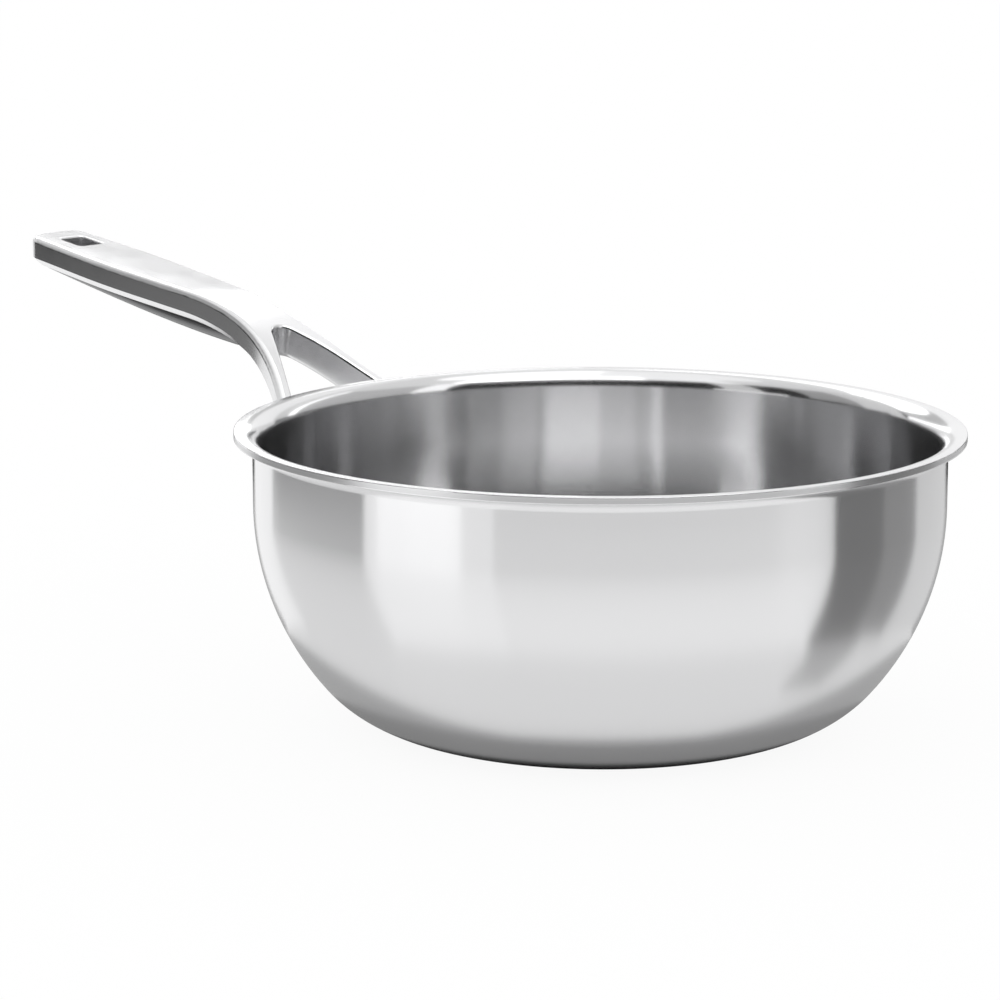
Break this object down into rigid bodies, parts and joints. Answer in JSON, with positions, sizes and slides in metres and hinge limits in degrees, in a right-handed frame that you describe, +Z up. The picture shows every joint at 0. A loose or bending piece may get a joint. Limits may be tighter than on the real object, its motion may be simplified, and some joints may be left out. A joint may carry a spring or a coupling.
{
  "type": "saucier pan",
  "caption": "Round-sided stainless saucier pan with a flared lip and a forked cast handle that has a rounded hanging hole at its end.",
  "frame": {"origin": "centre of the flat base, on the surface that the pan stands on", "axes": "+Z up along the bowl's axis, handle along -X, XZ is the plane of symmetry"},
  "size_m": [0.4069, 0.2366, 0.1344],
  "materials": {
    "liner_steel": "satin",
    "core_aluminium": "matt",
    "shell_steel": "polished",
    "handle_steel": "satin polished",
    "weld_steel": "brushed"
  },
  "bodies": {
    "root": {"bowl_liner": "liner_steel", "bowl_core": "core_aluminium", "bowl_outer_shell": "shell_steel", "handle_casting": "handle_steel", "handle_underside": "handle_steel", "foot_stud_left": "weld_steel", "foot_stud_right": "weld_steel", "foot_weld_left": "weld_steel", "foot_weld_right": "weld_steel"}
  },
  "joints": []
}
